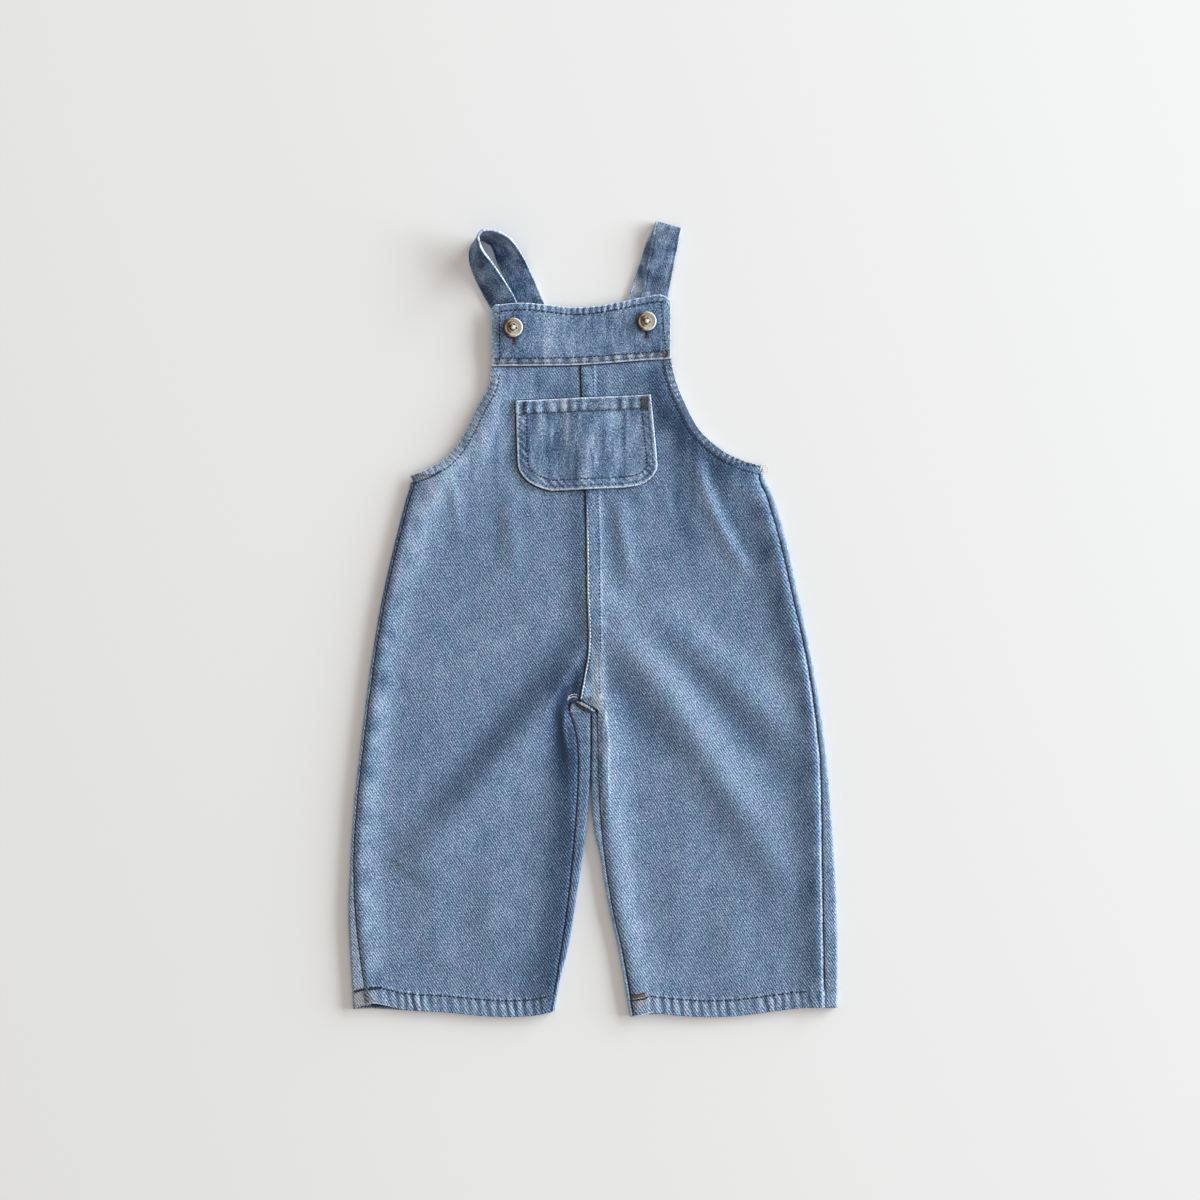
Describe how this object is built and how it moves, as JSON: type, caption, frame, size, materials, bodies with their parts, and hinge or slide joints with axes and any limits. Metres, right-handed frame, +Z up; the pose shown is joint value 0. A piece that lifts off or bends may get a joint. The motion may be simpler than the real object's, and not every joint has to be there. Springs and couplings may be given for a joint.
{
  "type": "kids dungarees",
  "caption": "Small child's bib dungarees in light washed denim, laid flat on its back, with a patch pocket on the bib and buttoned straps.",
  "frame": {"origin": "centre of the garment's box, on the surface it lies on", "axes": "+Y from the hems to the straps, +X to the viewer's right as the front faces up, +Z up out of the surface"},
  "size_m": [0.3664, 0.5962, 0.0201],
  "materials": {
    "denim": "washed matte twill",
    "strap_denim": "washed matte twill",
    "horn": "polished imitation horn"
  },
  "bodies": {
    "root": {"front_left": "denim", "front_right": "denim", "back_left": "denim", "back_right": "denim", "bib_band": "denim", "pocket": "denim", "strap_left": "strap_denim", "strap_right": "strap_denim", "button_left": "horn", "button_right": "horn"}
  },
  "joints": []
}
